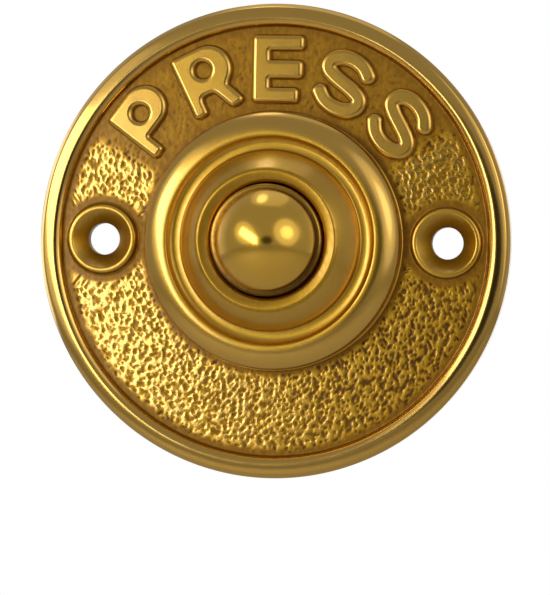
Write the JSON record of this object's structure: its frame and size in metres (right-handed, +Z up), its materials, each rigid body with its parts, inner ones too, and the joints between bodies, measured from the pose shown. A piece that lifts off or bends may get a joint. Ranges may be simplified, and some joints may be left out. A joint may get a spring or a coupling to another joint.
{
  "type": "doorbell push button",
  "caption": "Round cast-brass doorbell push: beaded plate with countersunk screw bosses, stepped collar and domed sprung button that closes a contact on a moulded base behind it.",
  "frame": {"origin": "centre of the plate on the wall plane, midway between the two fixing screw holes", "axes": "+Z up as installed, +Y into the wall, -Y out to the front, +X to the right seen from the front"},
  "size_m": [0.064, 0.0204, 0.064],
  "materials": {
    "cast_brass": "cast, polished on the high parts, brown patina in the recesses",
    "turned_brass": "turned and polished",
    "nylon": "moulded",
    "spring_steel": "drawn wire",
    "phenolic": "moulded, semi-gloss",
    "phosphor_bronze": "rolled strip",
    "brass_strip": "rolled strip",
    "brass_hardware": "turned",
    "zinc_steel": "zinc plated"
  },
  "bodies": {
    "plate": {"face_plate": "cast_brass", "return_spring": "spring_steel", "switch_base": "phenolic", "spring_contact": "phosphor_bronze", "fixed_contact": "brass_strip", "terminal_insert_left": "brass_hardware", "terminal_insert_right": "brass_hardware", "terminal_washer_left": "brass_hardware", "terminal_washer_right": "brass_hardware", "terminal_screw_left": "brass_hardware", "terminal_screw_right": "brass_hardware", "base_screw_top": "zinc_steel", "base_screw_bottom": "zinc_steel", "base_lock_washer_top": "zinc_steel", "base_lock_washer_bottom": "zinc_steel"},
    "button": {"push_button": "turned_brass", "stem_tip": "nylon"}
  },
  "joints": [
    {"name": "button_press", "type": "slide", "parent": "plate", "child": "button", "axis": [0, 1, 0], "range_m": [0, 0.002], "stiffness_N_per_m": 800, "springref_m": -0.0025, "deforming": ["return_spring", "spring_contact"]}
  ]
}
